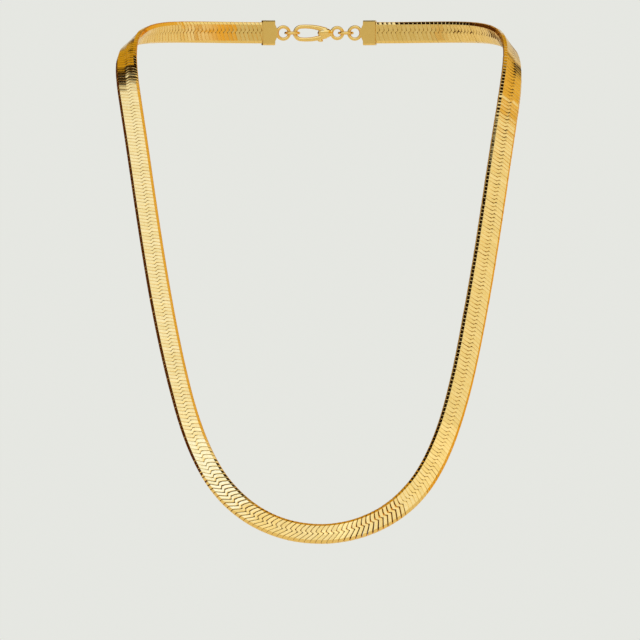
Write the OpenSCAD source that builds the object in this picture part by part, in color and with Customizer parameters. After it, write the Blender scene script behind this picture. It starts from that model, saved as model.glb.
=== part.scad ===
// Herringbone chain as it hangs round a neck: a flat woven band in a broad U, closed at
// the nape by two flat end caps, two jump rings and a claw clasp.
// Millimetres, +Z up, front of the U towards -Y. The origin is the middle of the nape,
// where the chain hangs on the neck.

/* [Woven band] */
// Width of the band
band_w = 5.2; // [4:0.1:7]
// Thickness of the band
band_t = 1.3; // [1:0.05:1.8]
// Width of the polished facet along each edge
facet_w = 0.65; // [0.4:0.05:0.9]
// Height of the upright edge that is left between the facets
edge_h = 0.5; // [0.3:0.05:0.8]
// Width of the valley where the two rows of links meet
valley_w = 0.6; // [0.3:0.05:1]
// Depth of the valley, the same on both faces
valley_d = 0.1; // [0.04:0.01:0.2]

/* [End caps] */
// Thickness of the metal round the end of the band
cap_wall = 0.35; // [0.25:0.05:0.6]
// Clearance between the band and the inside of a cap
cap_gap = 0.08; // [0.05:0.01:0.2]
// Length of band that a cap holds
cap_hold = 2.6; // [1.5:0.1:4]
// Bevel along the long edges of a cap
cap_bevel = 0.35; // [0.15:0.05:0.5]
// Length of the tapered nose between a cap and its loop
nose_l = 0.7; // [0.4:0.1:1.5]
// Thickness of the nose
nose_t = 0.9; // [0.6:0.1:1.3]
// Radius of a cap's loop, to the middle of its wire
loop_r = 1.5; // [1.3:0.05:2]
// Wire thickness of a cap's loop
loop_wire = 0.8; // [0.6:0.05:0.9]

/* [Jump rings] */
// Radius of a jump ring, to the middle of its wire
ring_r = 1.6; // [1.5:0.05:2]
// Wire thickness of a jump ring
ring_wire = 0.7; // [0.5:0.05:0.8]
// Clearance between two linked wires
play = 0.1; // [0.05:0.01:0.2]

/* [Clasp] */
// Length of the clasp, end to end
clasp_l = 12.6; // [11.5:0.1:14]
// Radius of the claw's bow, to the middle of its wire
bow_r = 1.55; // [1.4:0.05:1.9]
// Wire thickness of the bow
bow_wire = 1; // [0.8:0.05:1.1]
// Radius of the eye at the other end, to the middle of its wire
eye_r = 1.35; // [1.3:0.05:1.7]
// Wire thickness of the eye
eye_wire = 0.8; // [0.6:0.05:0.9]
// Radius of the rounded shoulder where the claw's two arms meet
shoulder_r = 1.15; // [0.9:0.05:1.4]
// Radius of the thumb knob
knob_r = 0.5; // [0.35:0.05:0.7]

/* [Hidden] */
$fn = 48;

// Distance between the centres of two linked rings that are pulled apart
function linked(r1, wire1, r2, wire2) = r1 + r2 - (wire1 + wire2) / 2 - play;

// Sizes of the closure at the nape
cap_end = cap_gap + cap_wall;
cap_to_loop = cap_end + nose_l + loop_r;
loop_to_ring = linked(loop_r, loop_wire, ring_r, ring_wire);
bow_to_eye = clasp_l - bow_r - bow_wire / 2 - eye_r - eye_wire / 2;
bow_to_ring = linked(bow_r, bow_wire, ring_r, ring_wire);
eye_to_ring = linked(eye_r, eye_wire, ring_r, ring_wire);
ring_x = (bow_to_ring + bow_to_eye + eye_to_ring) / 2;

// The last straight stretch of the route leans back from the X axis by this angle,
// and the band is cut there so that the closure just fills what is left of the loop
straight_from = [22, -2];
end_slope = 1 / 5;
end_lean = atan(end_slope);
end_turn = 180 - end_lean;
end_x = ring_x + (cap_to_loop + loop_to_ring) * cos(end_lean);
end_y = straight_from[1] + (straight_from[0] - end_x) * end_slope;
ring_y = end_y + (cap_to_loop + loop_to_ring) * sin(end_lean);
straight_mid = (straight_from + [end_x, end_y]) / 2;

// Right half of the route, from the lowest point of the U to the right end of the band.
// Columns: across, depth, height, turn and lift of the band's outer face. Turn goes from
// 0 at the front to 180 at the nape, and lift tips the face upwards.
half_route = [
    [0, -126, -119, 0, 27],
    [8.5, -125, -117.8, 3, 27],
    [16.2, -122.5, -114.2, 6, 28],
    [22.2, -119, -109, 8, 29],
    [26.3, -115, -102.5, 9, 30],
    [29.5, -109.5, -95, 10, 32],
    [32.2, -103, -86, 10, 34],
    [35, -94, -74.5, 11, 35],
    [38, -82.5, -59.5, 11, 36],
    [40.9, -69.5, -42.5, 12, 36],
    [43.7, -56, -25.5, 14, 36],
    [46.5, -42.3, -10.5, 22, 38],
    [46, -28.5, -3, 62, 38],
    [41, -15.5, -0.5, 112, 24],
    [32, -6.2, 0, 146, 8],
    [straight_from[0], straight_from[1], 0, end_turn, 0],
    [straight_mid[0], straight_mid[1], 0, end_turn, 0],
    [end_x, end_y, 0, end_turn, 0]
];
steps = 5; // sections between two points of the route
bow_steps = 10; // straight bars that the bow is made of

function to_left(row) = [-row[0], row[1], row[2], -row[3], row[4]];
function unit(v) = v / norm(v);
function facing(turn, lift) = [sin(turn) * cos(lift), -cos(turn) * cos(lift), sin(lift)];

last = len(half_route) - 1;
route = concat([for (i = [last : -1 : 1]) to_left(half_route[i])], half_route);
spans = len(route) - 1;

// The route with one more point past each end, so that the curve starts and ends on it
function control(i) =
    i < 0 ? 2 * route[0] - route[1] :
    i > spans ? 2 * route[spans] - route[spans - 1] : route[i];

// Place and direction on the smooth curve that the four points round span i pull
function place(i, t) =
    (pow(1 - t, 3) * control(i - 1) + (3 * pow(t, 3) - 6 * pow(t, 2) + 4) * control(i)
    + (-3 * pow(t, 3) + 3 * pow(t, 2) + 3 * t + 1) * control(i + 1)
    + pow(t, 3) * control(i + 2)) / 6;
function heading(i, t) =
    (-pow(1 - t, 2) * control(i - 1) + (3 * pow(t, 2) - 4 * t) * control(i)
    + (-3 * pow(t, 2) + 2 * t + 1) * control(i + 1) + pow(t, 2) * control(i + 2)) / 2;
function xyz(row) = [row[0], row[1], row[2]];

// One station: centre, width direction and facing direction of the band
function station(i, t) =
    let (
        p = place(i, t),
        along = unit(xyz(heading(i, t))),
        out = facing(p[3], p[4]),
        face = unit(out - (out * along) * along)
    )
    [xyz(p), cross(face, along), face];
stations = concat(
    [for (i = [0 : spans - 1], k = [0 : steps - 1]) station(i, k / steps)],
    [station(spans - 1, 1)]
);

// Section of the band: flat faces with a shallow valley, and a facet along each edge
flat_w = band_w - 2 * facet_w;
half_face = [
    [band_w / 2, edge_h / 2],
    [flat_w / 2, band_t / 2],
    [valley_w / 2, band_t / 2],
    [0, band_t / 2 - valley_d],
    [-valley_w / 2, band_t / 2],
    [-flat_w / 2, band_t / 2],
    [-band_w / 2, edge_h / 2]
];
section = concat(half_face, [for (p = half_face) -p]);

// Skin of a row of equal sections, closed at both ends
module swept(stations, section) {
    m = len(section);
    n = len(stations);
    points = [for (s = stations, q = section) s[0] + q[0] * s[1] + q[1] * s[2]];
    sides = [for (i = [0 : n - 2], j = [0 : m - 1], half = [0, 1])
        let (a = i * m + j, b = i * m + (j + 1) % m)
        half == 0 ? [a, b + m, b] : [a, a + m, b + m]];
    first_end = [[for (j = [0 : m - 1]) j]];
    last_end = [[for (j = [m - 1 : -1 : 0]) (n - 1) * m + j]];
    polyhedron(points = points, faces = concat(sides, first_end, last_end));
}

// Round wire ring in the XZ plane
module wire_ring(r, wire) {
    rotate([90, 0, 0]) rotate_extrude() translate([r, 0]) circle(d = wire);
}

// Round bar in the XZ plane between two places, each given as across, height and radius
module bar(from, to) {
    hull() for (q = [from, to]) translate([q[0], 0, q[1]]) sphere(r = q[2], $fn = 16);
}

// Flat cap at the end of the band. Its own X axis points from the band to the clasp
module end_cap() {
    cap_w = band_w + 2 * (cap_gap + cap_wall);
    cap_t = band_t + 2 * (cap_gap + cap_wall);
    y = cap_t / 2;
    z = cap_w / 2;
    b = cap_bevel;
    difference() {
        translate([-cap_hold, 0, 0]) rotate([90, 0, 90])
            linear_extrude(cap_hold + cap_end)
            polygon([[y - b, -z], [y, b - z], [y, z - b], [y - b, z],
                     [b - y, z], [-y, z - b], [-y, b - z], [b - y, -z]]);
        translate([-cap_hold - 1, -band_t / 2 - cap_gap, -band_w / 2 - cap_gap])
            cube([cap_hold + 1 + cap_gap, band_t + 2 * cap_gap, band_w + 2 * cap_gap]);
    }
    nose_from = cap_end - cap_wall / 2;
    nose_to = cap_end + nose_l;
    wide = cap_w / 2 - cap_bevel;
    narrow = loop_wire;
    translate([0, nose_t / 2, 0]) rotate([90, 0, 0]) linear_extrude(nose_t)
        polygon([[nose_from, -wide], [nose_to, -narrow], [nose_to, narrow], [nose_from, wide]]);
    translate([cap_to_loop, 0, 0]) wire_ring(loop_r, loop_wire);
}

module herringbone_band() {
    color("gold") swept(stations, section);
}

module end_cap_left() {
    color("goldenrod") translate([-end_x, end_y, 0]) rotate([0, 0, end_lean]) end_cap();
}

module end_cap_right() {
    color("goldenrod") translate([end_x, end_y, 0]) rotate([0, 0, end_turn]) end_cap();
}

// The jump rings lie flat, across the loops and the clasp that they link
module jump_ring(side) {
    translate([side * ring_x, ring_y, 0]) rotate([90, 0, 0]) wire_ring(ring_r, ring_wire);
}

module jump_ring_left() {
    color("khaki") jump_ring(-1);
}

module jump_ring_right() {
    color("khaki") jump_ring(1);
}

// Claw clasp, closed, as one plain piece: bow, two arms, shoulder, thumb knob and eye
module clasp() {
    bow_x = -ring_x + bow_to_ring;
    eye_x = ring_x - eye_to_ring;
    shoulder_x = eye_x - eye_r - shoulder_r;
    arm_z = shoulder_r / 2;
    knob_x = (bow_x + shoulder_x * 3) / 4;
    bow = [for (k = [0 : bow_steps]) let (a = 90 + 180 * k / bow_steps)
        [bow_x + bow_r * cos(a), bow_r * sin(a), bow_wire / 2]];
    color("gold") translate([0, ring_y, 0]) {
        for (k = [1 : bow_steps]) bar(bow[k - 1], bow[k]);
        bar(bow[0], [shoulder_x, arm_z, shoulder_r * 0.7]);
        bar(bow[bow_steps], [shoulder_x, -arm_z, shoulder_r * 0.6]);
        bar([knob_x, -arm_z - knob_r / 2, knob_r], [knob_x, -arm_z - knob_r, knob_r]);
        bar([shoulder_x, 0, shoulder_r], [eye_x - eye_r, 0, eye_wire / 2]);
        translate([eye_x, 0, 0]) wire_ring(eye_r, eye_wire, $fn = 24);
    }
}

herringbone_band();
end_cap_left();
end_cap_right();
jump_ring_left();
jump_ring_right();
clasp();
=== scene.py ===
# Herringbone chain: woven links on the band's route, closure at the nape, studio and camera
import math

import bmesh
import bpy
import numpy as np
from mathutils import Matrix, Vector


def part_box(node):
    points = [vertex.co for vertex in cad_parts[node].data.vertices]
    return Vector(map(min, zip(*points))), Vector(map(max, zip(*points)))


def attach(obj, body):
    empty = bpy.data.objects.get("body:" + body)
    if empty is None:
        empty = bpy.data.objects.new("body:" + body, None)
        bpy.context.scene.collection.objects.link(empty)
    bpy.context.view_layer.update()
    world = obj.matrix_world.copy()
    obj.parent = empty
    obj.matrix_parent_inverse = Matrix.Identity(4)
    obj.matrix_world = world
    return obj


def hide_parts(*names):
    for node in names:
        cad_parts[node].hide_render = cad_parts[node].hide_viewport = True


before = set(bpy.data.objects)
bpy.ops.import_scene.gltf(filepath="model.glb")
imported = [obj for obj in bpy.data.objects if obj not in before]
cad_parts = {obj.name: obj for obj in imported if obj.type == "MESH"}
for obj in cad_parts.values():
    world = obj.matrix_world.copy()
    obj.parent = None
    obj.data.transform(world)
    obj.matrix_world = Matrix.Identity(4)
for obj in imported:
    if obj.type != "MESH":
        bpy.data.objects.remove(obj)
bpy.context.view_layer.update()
mm = 0.001
print("scene: frame loaded,", len(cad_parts), "nodes")


# Small helpers for working in edit mode

def deselectAll():
    active = bpy.context.view_layer.objects.active
    if active and active.mode != "OBJECT":
        bpy.ops.object.mode_set(mode="OBJECT")
    bpy.ops.object.select_all(action="DESELECT")


def makeActive(*objs):
    deselectAll()
    for obj in objs:
        obj.select_set(True)
    bpy.context.view_layer.objects.active = objs[0]


def startEdit(obj):
    makeActive(obj)
    bpy.ops.object.mode_set(mode="EDIT")


def endEdit():
    bpy.ops.object.mode_set(mode="OBJECT")


def pick(obj, kind, test):  # selects the verts, edges or faces that pass the test, and nothing else
    bpy.ops.mesh.select_mode(type=kind)
    bpy.ops.mesh.select_all(action="DESELECT")
    mesh = bmesh.from_edit_mesh(obj.data)
    parts = {"VERT": mesh.verts, "EDGE": mesh.edges, "FACE": mesh.faces}[kind]
    for part in parts:
        if test(part):
            part.select_set(True)
    bmesh.update_edit_mesh(obj.data)


def useModifier(obj, kind, **settings):  # adds a modifier and applies it straight away
    makeActive(obj)
    bpy.ops.object.modifier_add(type=kind)
    modifier = obj.modifiers[-1]
    for name, value in settings.items():
        setattr(modifier, name, value)
    bpy.ops.object.modifier_apply(modifier=modifier.name)


def applyPlace():
    bpy.ops.object.transform_apply(location=True, rotation=True, scale=True)


def pointNormalsOut():
    bpy.ops.mesh.select_all(action="SELECT")
    bpy.ops.mesh.normals_make_consistent(inside=False)


def readPoints(obj):
    points = np.empty(len(obj.data.vertices) * 3)
    obj.data.vertices.foreach_get("co", points)
    return points.reshape(-1, 3)


def writePoints(obj, points):
    obj.data.vertices.foreach_set("co", points.ravel())
    obj.data.update()


# The band's route: the same chosen points as the construction, in millimetres

route = {
    "straightFrom": (22.0, -2.0),  # where the last straight stretch starts
    "end": (11.335, 0.133),  # where the band ends in its cap
    "endTurn": 180 - math.degrees(math.atan(1 / 5)),  # which way the face looks there
    "samples": 40,  # for each span between two points
}
straightMiddle = [(a + b) / 2 for a, b in zip(route["straightFrom"], route["end"])]
# columns: across, depth, height, turn and lift of the outer face, right half from the lowest point
halfRoute = [
    (0, -126, -119, 0, 27),
    (8.5, -125, -117.8, 3, 27),
    (16.2, -122.5, -114.2, 6, 28),
    (22.2, -119, -109, 8, 29),
    (26.3, -115, -102.5, 9, 30),
    (29.5, -109.5, -95, 10, 32),
    (32.2, -103, -86, 10, 34),
    (35, -94, -74.5, 11, 35),
    (38, -82.5, -59.5, 11, 36),
    (40.9, -69.5, -42.5, 12, 36),
    (43.7, -56, -25.5, 14, 36),
    (46.5, -42.3, -10.5, 22, 38),
    (46, -28.5, -3, 62, 38),
    (41, -15.5, -0.5, 112, 24),
    (32, -6.2, 0, 146, 8),
    (*route["straightFrom"], 0, route["endTurn"], 0),
    (*straightMiddle, 0, route["endTurn"], 0),
    (*route["end"], 0, route["endTurn"], 0),
]


def unit(rows):
    return rows / np.linalg.norm(rows, axis=1)[:, None]


def followRoute():  # length, centre, width direction and face direction, all along the band
    right = np.array(halfRoute, float)
    left = right[:0:-1] * (-1, 1, 1, -1, 1)
    points = np.vstack([left, right])
    # one more point past each end, so that the cubic spline starts and stops at the ends
    points = np.vstack([2 * points[0] - points[1], points, 2 * points[-1] - points[-2]])
    rows, headings = [], []
    for i in range(len(points) - 3):
        a, b, c, d = points[i:i + 4]
        for t in np.arange(route["samples"] + (i == len(points) - 4)) / route["samples"]:
            rows.append(((1 - t) ** 3 * a + (3 * t ** 3 - 6 * t ** 2 + 4) * b
                         + (-3 * t ** 3 + 3 * t ** 2 + 3 * t + 1) * c + t ** 3 * d) / 6)
            headings.append(-(1 - t) ** 2 * a + (3 * t * t - 4 * t) * b
                            + (-3 * t * t + 2 * t + 1) * c + t * t * d)
    rows = np.array(rows)
    ahead = unit(np.array(headings)[:, :3])
    turn, lift = np.radians(rows[:, 3]), np.radians(rows[:, 4])
    out = np.stack([np.sin(turn) * np.cos(lift), -np.cos(turn) * np.cos(lift), np.sin(lift)], 1)
    face = unit(out - (out * ahead).sum(1)[:, None] * ahead)
    centre = rows[:, :3]
    steps = np.linalg.norm(np.diff(centre, axis=0), axis=1)
    length = np.concatenate([[0], np.cumsum(steps)])
    return length, centre, np.cross(face, ahead), face


bandLength, bandCentre, bandAcross, bandFace = followRoute()
print("scene: route is", round(float(bandLength[-1]), 1), "mm long")


def column(table, at):  # reads a table of vectors at any length along the band
    return np.stack([np.interp(at, bandLength, table[:, k]) for k in range(3)], 1)


# Shader maths as plain Python

class Shade:
    def __init__(self, tree, socket=None):
        self.tree, self.socket = tree, socket

    def add(self, kind, settings=None, sockets=None, out=0):  # any node, with its settings set first
        node = self.tree.nodes.new(kind)
        for name, value in (settings or {}).items():
            setattr(node, name, value)
        for name, value in (sockets or {}).items():
            if isinstance(value, Shade):
                self.tree.links.new(value.socket, node.inputs[name])
            else:
                node.inputs[name].default_value = value
        return Shade(self.tree, node.outputs[out]) if node.outputs else None

    def math(self, operation, first, second):
        return self.add("ShaderNodeMath", {"operation": operation}, {0: first, 1: second})

    def __add__(self, other):
        return self.math("ADD", self, other)

    def __radd__(self, other):
        return self.math("ADD", other, self)

    def __sub__(self, other):
        return self.math("SUBTRACT", self, other)

    def __rsub__(self, other):
        return self.math("SUBTRACT", other, self)

    def __mul__(self, other):
        return self.math("MULTIPLY", self, other)

    def __rmul__(self, other):
        return self.math("MULTIPLY", other, self)

    def blend(self, first, second):  # this value mixes two colours
        return self.add("ShaderNodeMix", {"data_type": "RGBA"}, {0: self, 6: first, 7: second}, out=2)

    def clamp(self, low, high):  # 0 up to low, 1 from high on, and a soft rise between them
        return self.add("ShaderNodeMapRange", {"interpolation_type": "SMOOTHSTEP"},
                        {0: self, 1: low, 2: high})


def newMaterial(name):
    material = bpy.data.materials.new(name)
    material.use_nodes = True
    material.node_tree.nodes.clear()
    return material, Shade(material.node_tree)


def finishMaterial(shade, shader):
    shade.add("ShaderNodeOutputMaterial", None, {"Surface": shader})


# Gold. Each finish has two close tones, so that no two links are quite alike

finishes = {
    # light tone, dark tone, roughness, how much that varies, size of the grain (per metre), its depth
    "leafGold": ((0.97, 0.68, 0.24, 1), (0.82, 0.53, 0.13, 1), 0.13, 0.08, 2600, 0.12),
    "facetGold": ((0.91, 0.61, 0.18, 1), (0.86, 0.55, 0.14, 1), 0.06, 0.03, 2600, 0.04),
    # painted reflection: the bevels between the leaves get a deeper orange than the leaves, standing in for
    # gold mirrored in gold
    "borderPaintedReflectionGold": ((0.93, 0.60, 0.17, 1), (0.84, 0.50, 0.11, 1), 0.16, 0.08, 2600, 0.1),
    # painted reflection: the rim along the inner edge gets a deep, rough orange, so that it shows as an
    # orange line
    "rimPaintedReflectionGold": ((0.86, 0.47, 0.07, 1), (0.76, 0.38, 0.05, 1), 0.5, 0.1, 2600, 0.1),
    # painted shade: the walls of the gaps between links get a dark brown, standing in for the shade deep in
    # the gaps
    "groovePaintedShadeGold": ((0.55, 0.29, 0.07, 1), (0.34, 0.16, 0.03, 1), 0.42, 0.1, 1800, 0.3),
    "fittingGold": ((0.88, 0.58, 0.17, 1), (0.84, 0.54, 0.14, 1), 0.12, 0.06, 1500, 0.1),
}
mottle = {
    "cloudSize": 220,  # per metre
    # how much of the way from the light tone to the dark one: everywhere, by cloud, grain and link
    "start": 0.12,
    "byCloud": 0.4,
    "byGrain": 1.8,
    "byLink": 0.35,
    "cloudGloss": 0.6,  # how much the clouds vary the roughness, against the grain
    "relief": 0.02,  # mm
}


def goldMaterial(name, light, dark, roughness, spread, grain, depth):
    material, shade = newMaterial(name)
    place = shade.add("ShaderNodeTexCoord", out="Object")
    island = shade.add("ShaderNodeNewGeometry", out="Random Per Island")
    cloud = shade.add("ShaderNodeTexNoise", {"noise_dimensions": "3D"},
                      {"Vector": place, "Scale": mottle["cloudSize"], "Detail": 3, "Roughness": 0.6})
    fine = shade.add("ShaderNodeTexNoise", {"noise_dimensions": "3D"},
                     {"Vector": place, "Scale": grain, "Detail": 4, "Roughness": 0.65})
    share = cloud * mottle["byCloud"] + (fine - 0.5) * mottle["byGrain"] + island * mottle["byLink"]
    tone = (share + mottle["start"]).blend(light, dark)
    gloss = roughness + (fine - 0.5) * spread + (cloud - 0.5) * (spread * mottle["cloudGloss"])
    bump = shade.add("ShaderNodeBump", None,
                     {"Strength": depth, "Distance": mottle["relief"] * mm, "Height": fine})
    shader = shade.add("ShaderNodeBsdfPrincipled", None, {
        "Base Color": tone, "Metallic": 1.0, "Roughness": gloss, "Normal": bump})
    finishMaterial(shade, shader)
    return material


gold = {name: goldMaterial(name, *values) for name, values in finishes.items()}
print("scene:", len(gold), "gold finishes made")


# The woven links. One link runs right across the band as a flat S: a slim leaf in the inner
# row, a narrow neck in the middle, and a slim leaf in the outer row

link = {
    "width": 5.2,  # mm across the band
    # across from the band's middle (mm, + is inwards), slide along the band (pitches),
    # half thickness (mm), breadth (pitches)
    "stations": [
        (2.60, 1.05, 0.13, 0.97),
        (2.49, 0.98, 0.23, 0.97),
        (1.95, 0.61, 0.70, 0.98),
        (1.15, 0.00, 0.70, 0.98),
        (0.50, -0.25, 0.70, 0.86),
        (0.26, 0.00, 0.70, 0.95),
        (0.02, 0.25, 0.70, 0.84),
        (-0.40, -0.02, 0.70, 0.98),
        (-2.00, -1.04, 0.70, 0.98),
        (-2.60, -1.36, 0.13, 0.97),
    ],
    "rimFrom": 1,  # the station where the rim ends and the facet begins
    "leafFrom": 2,  # the station where the facet ends and the flat top begins
    "seam": (4, 6),  # the two stations that the neck joins
    # rounding along each side of a leaf: its breadth (pitches), its drop and its tuck (mm)
    "rounding": (0.10, 0.016, 0),
    "innerRounding": (0.10, 0.03, 0.01),
    "cornerRounding": (0.08, 0.03, 0),  # where the leaf meets the inner facet
    "outerRounding": (0.12, 0.02, 0),
    "roundingShift": -0.05,  # pitches, one long side of a leaf slopes more gently than the other
    "nest": 0.3,  # pitches that the mid-height of a link reaches into the next one
    "middle": 0.5,  # pitches from the start of a link's own stretch to its middle
    "slab": 0.001,  # mm, the thin slice that both ends are drawn out of
    "near": 0.01,  # mm, what lies closer than this counts as in the same place
}


def drawEnd(obj, stations, side):  # draws one end of the link out through the stations, step by step
    for (y, x, z, breadth), (nextY, nextX, nextZ, nextBreadth) in zip(stations, stations[1:]):
        pick(obj, "FACE", lambda f: f.normal.y * side > 0.9
             and abs(f.calc_center_median().y - y) < link["near"])
        bpy.ops.mesh.extrude_region_move(
            TRANSFORM_OT_translate={"value": (nextX - x, nextY - y, 0)})
        bpy.ops.transform.resize(value=(nextBreadth / breadth, 1, nextZ / z),
                                 center_override=(nextX + link["middle"], nextY, 0))


def roundSides(obj):  # bevels the long sides, shallow on the leaves and wider towards both ends
    stations, near, middle = link["stations"], link["near"], link["middle"]
    border = link["rounding"][0]
    pick(obj, "EDGE", lambda e: abs(e.verts[0].co.y - e.verts[1].co.y) > 0.1
         and e.verts[0].co.z * e.verts[1].co.z > 0)
    bpy.ops.mesh.bevel(offset=border, offset_type="OFFSET", segments=1, affect="EDGES")
    # the middle of both side walls is pushed towards the next link
    bpy.ops.mesh.select_all(action="SELECT")
    bpy.ops.mesh.bisect(plane_co=(0, 0, 0), plane_no=(0, 0, 1))
    pick(obj, "VERT", lambda v: abs(v.co.z) < near)
    bpy.ops.transform.translate(value=(link["nest"], 0, 0))
    ends = {stations[0][0]: link["innerRounding"],
            stations[link["leafFrom"]][0]: link["cornerRounding"],
            stations[-1][0]: link["outerRounding"]}
    for y, x, z, breadth in stations:
        width, drop, tuck = ends.get(y, link["rounding"])
        pick(obj, "VERT", lambda v: abs(v.co.y - y) < near and abs(v.co.z) > z - near)
        slim = (breadth - 2 * width) / (breadth - 2 * border)
        bpy.ops.transform.resize(value=(slim, 1, 1), center_override=(x + middle, y, 0))
        if y not in ends:
            bpy.ops.transform.translate(value=(link["roundingShift"], 0, 0))
        pick(obj, "VERT", lambda v: abs(v.co.y - y) < near and near < abs(v.co.z) < z - near)
        bpy.ops.transform.resize(value=(1, 1, (z - drop) / (z - border)),
                                 center_override=(x + middle, y, 0))
        bpy.ops.transform.translate(value=(0, -tuck, 0))


def makeLink():
    stations, top = link["stations"], link["leafFrom"]
    fromY, fromX, fromZ, breadth = stations[top]
    rimY = stations[link["rimFrom"]][0]
    deselectAll()
    bpy.ops.mesh.primitive_cube_add(size=1, location=(fromX + link["middle"], fromY, 0))
    obj = bpy.context.object
    obj.name = "linkOriginal"
    obj.scale = (breadth, link["slab"], 2 * fromZ)
    applyPlace()
    startEdit(obj)
    drawEnd(obj, stations[top:], -1)  # the leaf of the inner row, the neck and the outer row
    drawEnd(obj, stations[top::-1], 1)  # the inner facet and rim
    bpy.ops.mesh.select_all(action="SELECT")
    bpy.ops.mesh.remove_doubles(threshold=2 * link["slab"])
    roundSides(obj)
    pointNormalsOut()
    # each finish goes over the one before
    areas = (
        ("leafGold", lambda f: True),
        # painted reflection, orange, on the bevels between the leaves
        ("borderPaintedReflectionGold", lambda f: abs(f.normal.z) < 0.995 and abs(f.calc_center_median().y) < fromY),
        ("facetGold", lambda f: abs(f.calc_center_median().y) > fromY),
        # painted reflection, orange, on the rim along the inner edge
        ("rimPaintedReflectionGold", lambda f: f.calc_center_median().y > rimY),
        # painted shade, dark brown, on the walls of the gaps between links
        ("groovePaintedShadeGold", lambda f: abs(f.normal.z) < 0.35 and abs(f.normal.y) < 0.9),
    )
    for slot, (finish, test) in enumerate(areas):
        obj.data.materials.append(gold[finish])
        pick(obj, "FACE", test)
        obj.active_material_index = slot
        bpy.ops.object.material_slot_assign()
    endEdit()
    return obj


weave = {
    # each table gives millimetres along the band, then its value there. The U's lowest point is at 217
    "pitch": [(0, 1.03), (164, 1.03), (180, 1.17), (237, 1.17), (239, 1.01), (255, 1.01), (265, 1.13)],  # mm
    # how far the links lean, as a share of the lean in link["stations"]
    "lean": [(168, 0.5), (188, 1.0), (223, 1.0), (231, 0.6), (404, 0.5)],
    # share of a pitch: how far the links part where the band bends most
    "parting": [(184, 0), (190, 0.11), (200, 0.12), (206, 0.06), (222, 0.06), (227, 0.20),
                (237, 0.24), (238, 0)],
    # the worn chain turns a little about its own length, in degrees
    "twist": [(30, 0), (60, 9), (165, 9), (186, -5), (250, -5), (283, -15), (374, -15), (404, 0)],
    # how wide it looks, as a share of its width
    "spread": [(40, 1), (70, 1.03), (104, 1.01), (134, 1), (163, 0.95), (192, 0.965), (203, 0.93),
               (217, 0.90), (225, 0.91), (232, 0.93), (241, 0.99), (263, 1), (277, 1.06), (290, 1.1),
               (374, 1.12), (404, 1)],
    # mm towards the inner edge: the whole band, then the seam between the rows alone
    "shift": [(40, 0), (75, 0.2), (104, 0.08), (134, 0.08), (163, 0.15), (192, 0.2), (203, 0),
              (217, -0.1), (232, -0.28), (250, -0.25), (277, -0.2), (292, -0.06), (404, 0)],
    "seamShift": [(40, 0), (104, -0.05), (163, -0.15), (182, -0.4), (190, -0.44), (203, -0.34),
                  (217, -0.2), (235, -0.2), (243, -0.34), (270, -0.42), (300, -0.48), (374, -0.4),
                  (404, 0)],
    "waver": 0.7,  # degrees that the band turns to and fro about its own length
    "waverEvery": 9.0,  # mm
    "roll": 0.010,  # random tilt of a link about the band's length, in radians
    "tip": 0.022,  # random tilt of a link along the band
    "seed": 7,
    "spare": 2,  # links past each end of the band, before it is cut straight
    "smoothUnder": 13,  # degrees, sharper edges stay crisp
    "countAt": 4001,  # places where the links are counted along the band
}


def readWeave(name, length):
    places, values = np.array(weave[name], float).T
    return np.interp(length, places, values)


waverPlaces = np.arange(0, bandLength[-1] + weave["waverEvery"], weave["waverEvery"])
waverTurns = np.random.default_rng(weave["seed"]).normal(0, weave["waver"], len(waverPlaces))
fineLength = np.linspace(0, bandLength[-1], weave["countAt"])
finePitch = readWeave("pitch", (fineLength[1:] + fineLength[:-1]) / 2)
fineCount = np.concatenate([[0], np.cumsum(np.diff(fineLength) / finePitch)])
linkTotal = round(float(fineCount[-1]))
fineCount *= linkTotal / fineCount[-1]


def lengthAt(count):  # millimetres along the band at a link number
    return np.interp(count, fineCount, fineLength)


def weaveRow(points, start, total, seed):  # leans, parts, tilts and turns the links of a straight row
    x, y, z = points.T
    number = np.arange(len(x)) // (len(x) // total)
    slides = np.array(link["stations"])[::-1]
    slide = np.interp(y, slides[:, 0], slides[:, 1])
    fromMiddle = x - number - link["middle"] - slide
    place = lengthAt(start + number + link["middle"])
    above, below = (link["stations"][k] for k in link["seam"])
    jog = np.interp(y, (below[0], above[0]), (below[1], above[1]))
    random = np.random.default_rng(seed)
    roll = random.normal(0, weave["roll"], total)[number]
    tip = random.normal(0, weave["tip"], total)[number]
    x = (start + number + link["middle"] + jog + (slide - jog) * readWeave("lean", place)
         + fromMiddle * (1 - readWeave("parting", place)))
    z = z + y * roll + fromMiddle * tip
    # the leaves stretch and slide across the band, and carry the facets along unchanged
    share = np.clip(y / link["stations"][link["leafFrom"]][0], -1, 1)
    y = y + share * (readWeave("spread", place) - 1) * link["width"] / 2
    y = y + readWeave("shift", place) + readWeave("seamShift", place) * (1 - share ** 2)
    twist = np.radians(readWeave("twist", place) + np.interp(place, waverPlaces, waverTurns))
    y, z = y * np.cos(twist) + z * np.sin(twist), z * np.cos(twist) - y * np.sin(twist)
    return np.stack([x, y, z], 1)


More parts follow.
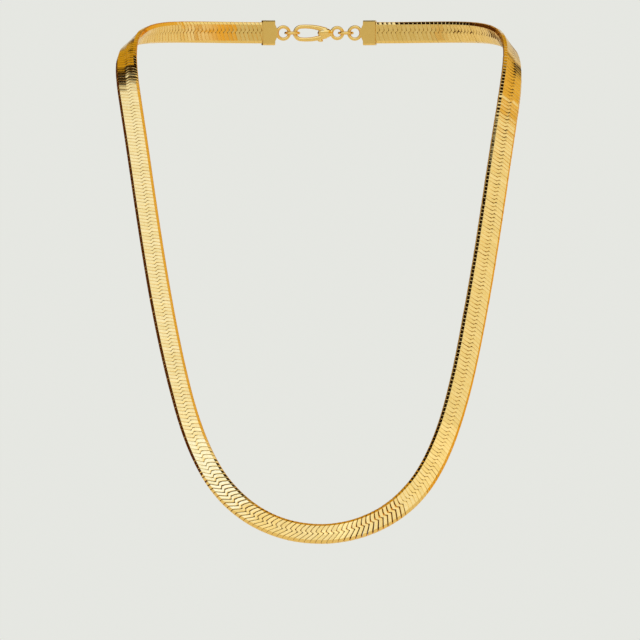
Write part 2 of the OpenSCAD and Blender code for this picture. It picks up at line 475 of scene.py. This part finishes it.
def layLinks(name, original, first, last):
    deselectAll()
    obj = original.copy()
    obj.data = original.data.copy()
    obj.name = obj.data.name = name
    bpy.context.scene.collection.objects.link(obj)
    start = first - weave["spare"] if first == 0 else first
    stop = last + weave["spare"] if last == linkTotal else last
    useModifier(obj, "ARRAY", count=stop - start, use_relative_offset=False, use_constant_offset=True,
                constant_offset_displace=(1, 0, 0))
    writePoints(obj, weaveRow(readPoints(obj), start, stop - start, weave["seed"] + first))
    startEdit(obj)
    for cut, place in ((first == 0, 0.0), (last == linkTotal, float(linkTotal))):
        if cut:
            bpy.ops.mesh.select_all(action="SELECT")
            bpy.ops.mesh.bisect(plane_co=(place, 0, 0), plane_no=(1, 0, 0), use_fill=True,
                                clear_inner=place == 0.0, clear_outer=place != 0.0)
    endEdit()
    # from the straight row onto the route
    x, y, z = readPoints(obj).T
    at = lengthAt(x)
    across, face = unit(column(bandAcross, at)), unit(column(bandFace, at))
    writePoints(obj, (column(bandCentre, at) + y[:, None] * across + z[:, None] * face) * mm)
    makeActive(obj)
    bpy.ops.object.shade_smooth_by_angle(angle=math.radians(weave["smoothUnder"]))
    useModifier(obj, "WEIGHTED_NORMAL", keep_sharp=True)
    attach(obj, "root")
    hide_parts("herringbone_band")


original = makeLink()
print("scene: link has", len(original.data.polygons), "faces")
stretches = ("links_nape_left", "links_front_left", "links_front_right", "links_nape_right")
quarters = [linkTotal * k // len(stretches) for k in range(len(stretches) + 1)]
for name, first, last in zip(stretches, quarters, quarters[1:]):
    layLinks(name, original, first, last)
bpy.data.objects.remove(original)
print("scene:", linkTotal, "links laid along the route")


# The clasp: a claw with a round bow, two arms, a drop-shaped shoulder, a thumb knob and an eye.
# It is drawn out of simple forms in millimetres, fused and smoothed as one cast piece

clasp = {
    "bowRadius": 1.55,  # mm, to the middle of the wire
    "bowWire": 1.0,
    "bowSides": 16,
    "eyeRadius": 1.35,
    "eyeWire": 0.84,  # a little over its real 0.8 mm, which the smoothing takes off again
    "eyeSides": 14,
    # each arm: share of the way from bow to shoulder, how far from the middle line (mm), radius (mm)
    "armSteps": [(0.15, 1.60, 0.50), (0.4, 1.53, 0.54), (0.7, 1.20, 0.62), (1.0, 0.60, 0.72)],
    # shoulder: place along the clasp from its widest point (mm), radius (mm)
    "shoulderSteps": [(-2.3, 0.2), (-2.0, 0.6), (-1.4, 0.9), (-0.7, 1.1), (0.0, 1.16), (0.45, 1.06),
                      (0.8, 0.8), (1.1, 0.58), (1.45, 0.46)],
    "shoulderRadius": 1.15,
    # thumb knob: distance below the arm (mm), radius (mm)
    "knobSteps": [(0.0, 0.5), (0.45, 0.42), (0.58, 0.5), (0.72, 0.62), (0.9, 0.62), (1.05, 0.42)],
    "knobAt": 0.75,  # share of the way from bow to shoulder
    "turnedSides": 20,
    "grain": 0.075,  # mm, the size of the faces that the fused piece is made of
    "smoothing": 6,
}


def drawOut(steps):  # extrudes the selected end through a list of (move, growth, middle)
    for move, growth, middle in steps:
        bpy.ops.mesh.extrude_region_move(TRANSFORM_OT_translate={"value": move})
        bpy.ops.transform.resize(value=(growth, growth, growth), center_override=middle)


def addRing(place, radius, wire, sides):  # a wire ring that stands upright, across the band's face
    deselectAll()
    bpy.ops.mesh.primitive_torus_add(location=place, rotation=(math.radians(90), 0, 0),
                                     major_segments=32, minor_segments=sides,
                                     major_radius=radius, minor_radius=wire / 2)
    return bpy.context.object


def turnForm(start, way, tilt, steps):  # a small disc drawn out ring by ring, from start along way
    place, radius = steps[0]
    deselectAll()
    bpy.ops.mesh.primitive_circle_add(vertices=clasp["turnedSides"], radius=radius, fill_type="NGON",
                                      location=start + way * place, rotation=(0, tilt, 0))
    piece = bpy.context.object
    applyPlace()
    startEdit(piece)
    bpy.ops.mesh.select_all(action="SELECT")
    rings = []
    for nextPlace, nextRadius in steps[1:]:
        rings.append((way * (nextPlace - place), nextRadius / radius, start + way * nextPlace))
        place, radius = nextPlace, nextRadius
    drawOut(rings)
    endEdit()
    return piece


def makeClasp():
    low, high = (Vector(corner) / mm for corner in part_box("clasp"))
    middleY = (low.y + high.y) / 2
    bowX = low.x + clasp["bowRadius"] + clasp["bowWire"] / 2
    eyeX = high.x - clasp["eyeRadius"] - clasp["eyeWire"] / 2
    shoulderX = eyeX - clasp["eyeRadius"] - clasp["shoulderRadius"]
    knobX = bowX + clasp["knobAt"] * (shoulderX - bowX)
    knobZ = np.interp(clasp["knobAt"], *np.array(clasp["armSteps"]).T[:2])
    # the bow is half a ring, and its two open ends are drawn out into the arms
    bow = addRing((bowX, middleY, 0), clasp["bowRadius"], clasp["bowWire"], clasp["bowSides"])
    bow.name = bow.data.name = "claspClaw"
    applyPlace()
    startEdit(bow)
    bpy.ops.mesh.select_all(action="SELECT")
    bpy.ops.mesh.bisect(plane_co=(bowX, 0, 0), plane_no=(1, 0, 0), clear_outer=True)
    for side in (1, -1):
        pick(bow, "EDGE", lambda e: all(abs(v.co.x - bowX) < 0.001 and v.co.z * side > 0
                                        for v in e.verts))
        x, z, radius = bowX, clasp["bowRadius"], clasp["bowWire"] / 2
        steps = []
        for share, nextZ, nextRadius in clasp["armSteps"]:
            nextX = bowX + share * (shoulderX - bowX)
            steps.append(((nextX - x, 0, side * (nextZ - z)), nextRadius / radius,
                          (nextX, middleY, side * nextZ)))
            x, z, radius = nextX, nextZ, nextRadius
        drawOut(steps)
        bpy.ops.mesh.edge_face_add()
    endEdit()
    shoulder = turnForm(Vector((shoulderX, middleY, 0)), Vector((1, 0, 0)), math.radians(90),
                        clasp["shoulderSteps"])
    knob = turnForm(Vector((knobX, middleY, -knobZ)), Vector((0, 0, -1)), 0, clasp["knobSteps"])
    eye = addRing((eyeX, middleY, 0), clasp["eyeRadius"], clasp["eyeWire"], clasp["eyeSides"])
    makeActive(bow, eye, shoulder, knob)
    bpy.ops.object.join()
    startEdit(bow)
    pointNormalsOut()
    endEdit()
    useModifier(bow, "REMESH", mode="VOXEL", voxel_size=clasp["grain"])
    useModifier(bow, "SMOOTH", factor=0.5, iterations=clasp["smoothing"])
    bow.scale = (mm, mm, mm)
    applyPlace()
    bpy.ops.object.shade_smooth()
    bow.data.materials.append(gold["fittingGold"])
    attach(bow, "root")
    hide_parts("clasp")
    return bow


claw = makeClasp()
print("scene: clasp has", len(claw.data.polygons), "faces")


# The caps and rings keep their constructed shapes and get the polished finish
for name in ("end_cap_left", "end_cap_right", "jump_ring_left", "jump_ring_right"):
    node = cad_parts[name]
    node.data.materials.clear()
    node.data.materials.append(gold["fittingGold"])
print("scene: caps and rings polished")


# Studio

studio = {
    "middle": (0, -0.07, -0.07),
    # azimuth (0 is towards the camera, + is to the right), elevation, distance, width, height,
    # radiance, tint
    "softboxes": {
        "wideSoftbox": (12, 50, 1.2, 1.2, 0.80, 0.12, (1.0, 1.0, 1.0)),
        "glintSoftbox": (10.0, 43, 1.2, 0.22, 0.16, 0.45, (0.6, 0.9, 1.6)),
    },
    # what the gold mirrors
    "room": (0.68, 0.68, 0.62, 1),
    "ceiling": (0.98, 1.06, 1.22, 1),
    "lowCard": (0.90, 1.03, 1.42, 1),
    "coolCard": (1.03, 1.26, 2.05, 1),
    "darkCard": (0.015, 0.007, 0.003, 1),
    "umberCard": (0.09, 0.03, 0.004, 1),
    "warmCard": (0.85, 0.62, 0.17, 1),
    "sideCard": (0.84, 0.53, 0.08, 1),
    "brownCard": (0.62, 0.41, 0.035, 1),
    "frontCard": (0.92, 0.98, 1.20, 1),
    "creamCard": (1.12, 1.52, 3.20, 1),
    # what the camera sees behind it
    "backdrop": (0.79, 0.80, 0.76, 1),
    "floorPlace": (0, -0.06, -0.21),
    "floorRadius": 0.85,
    "floorTone": (0.56, 0.53, 0.45, 1),
    "floorRoughness": 0.9,
    "floorGlow": 0.6,
}


def makeSoftbox(name, azimuth, elevation, distance, width, height, radiance, tint):
    a, e = math.radians(azimuth), math.radians(elevation)
    direction = Vector((math.sin(a) * math.cos(e), -math.cos(a) * math.cos(e), math.sin(e)))
    deselectAll()
    bpy.ops.object.light_add(type="AREA", location=Vector(studio["middle"]) + direction * distance)
    lamp = bpy.context.object
    lamp.name = lamp.data.name = name
    lamp.rotation_mode = "QUATERNION"
    lamp.rotation_quaternion = direction.to_track_quat("Z", "Y")
    lamp.data.shape = "RECTANGLE"
    lamp.data.size, lamp.data.size_y = width, height
    lamp.data.energy = radiance * math.pi * width * height
    lamp.data.color = tint


def makeWorld():
    world = bpy.data.worlds.new("studioWorld")
    bpy.context.scene.world = world
    world.use_nodes = True
    world.node_tree.nodes.clear()
    shade = Shade(world.node_tree)
    direction = shade.add("ShaderNodeTexCoord", out="Generated")
    x, y, z = (shade.add("ShaderNodeSeparateXYZ", None, {0: direction}, out=axis) for axis in "XYZ")
    # The cards stand round the band. Each is a patch of directions, + x to the right, + y away
    # from the camera and + z up, with a clamp for each of its edges: where it starts to show and
    # where it is full. A later card covers an earlier one
    color = z.clamp(0.3, 0.5).blend(studio["room"], studio["ceiling"])
    # to the right, for the left arm's inner facets and the right arm's outer ones
    side = x.clamp(0.45, 0.55) * (y.clamp(0.05, 0.15) * 0.12 + 0.68 - z).clamp(0.0, 0.06)
    color = side.blend(color, z.clamp(0.2, 0.4).blend(studio["sideCard"], studio["warmCard"]))
    # low in front, for the outer facets of the bend
    front = (0 - y).clamp(0.1, 0.3) * (0 - z).clamp(0.0, 0.25) * (x + 0.75).clamp(0.0, 0.25)
    color = front.blend(color, studio["frontCard"])
    # high in front, for the leaves from the middle of the bend to its right end
    low = (0 - y).clamp(0.54, 0.60) * z.clamp(0.4, 0.6) * (x + 0.17).clamp(0.0, 0.08)
    color = low.blend(color, studio["lowCard"])
    # overhead, for the leaves of the left arm, then for those at the bend's left end
    cool = (0.15 - x).clamp(0.0, 0.08) * (0.08 - y).clamp(0.0, 0.08) * (y + 0.58).clamp(0.0, 0.08)
    color = (cool * z.clamp(0.6, 0.7)).blend(color, studio["coolCard"])
    cream = (0 - x).clamp(0.235, 0.265) * (0 - y).clamp(0.40, 0.48) * z.clamp(0.6, 0.66)
    color = cream.blend(color, studio["creamCard"])
    # to the left, for the left arm's outer facets and the right arm's inner ones
    left = (0 - x).clamp(0.24, 0.32) * y.clamp(-0.2, -0.08) * (y + z).clamp(-0.36, -0.22)
    color = left.blend(color, z.clamp(0.5, 0.7).blend(studio["umberCard"], studio["darkCard"]))
    # behind, for the inner facets of the bend: dark at both ends, and brown between them
    back = y.clamp(0.02, 0.10) * z.clamp(0.42, 0.5) * (0.59 - x).clamp(0.0, 0.03)
    color = back.blend(color, studio["darkCard"])
    brown = y.clamp(0.28, 0.32) * z.clamp(0.42, 0.5) * (0.37 - x).clamp(0.0, 0.06)
    color = (brown * (x + 0.44).clamp(0.0, 0.03)).blend(color, studio["brownCard"])
    seen = shade.add("ShaderNodeLightPath", out="Is Camera Ray")
    glow = shade.add("ShaderNodeBackground", None, {"Color": seen.blend(color, studio["backdrop"])})
    shade.add("ShaderNodeOutputWorld", None, {"Surface": glow})


def makeFloor():
    deselectAll()
    bpy.ops.mesh.primitive_circle_add(vertices=96, radius=studio["floorRadius"], fill_type="NGON",
                                      location=studio["floorPlace"])
    floor = bpy.context.object
    floor.name = "floor"
    material, shade = newMaterial("paleFloor")
    shader = shade.add("ShaderNodeBsdfPrincipled", None, {
        "Base Color": studio["floorTone"], "Roughness": studio["floorRoughness"],
        "Emission Color": studio["backdrop"], "Emission Strength": studio["floorGlow"]})
    finishMaterial(shade, shader)
    floor.data.materials.append(material)


makeFloor()
makeWorld()
for name, values in studio["softboxes"].items():
    makeSoftbox(name, *values)
bpy.context.scene.view_settings.view_transform = "Standard"
print("scene: studio set")

view = {
    "lens": 397.0,  # mm
    "sensor": 36.0,  # mm
    "place": (0.2267, -1725.67, -70.2),  # mm
    "tilt": 90,  # degrees, level
}
cam = bpy.data.cameras.new("photoCamera")
cam.lens, cam.sensor_width = view["lens"], view["sensor"]
camera = bpy.data.objects.new("photoCamera", cam)
camera.location = Vector(view["place"]) * mm
camera.rotation_euler = (math.radians(view["tilt"]), 0, 0)
bpy.context.scene.collection.objects.link(camera)
bpy.context.scene.camera = camera
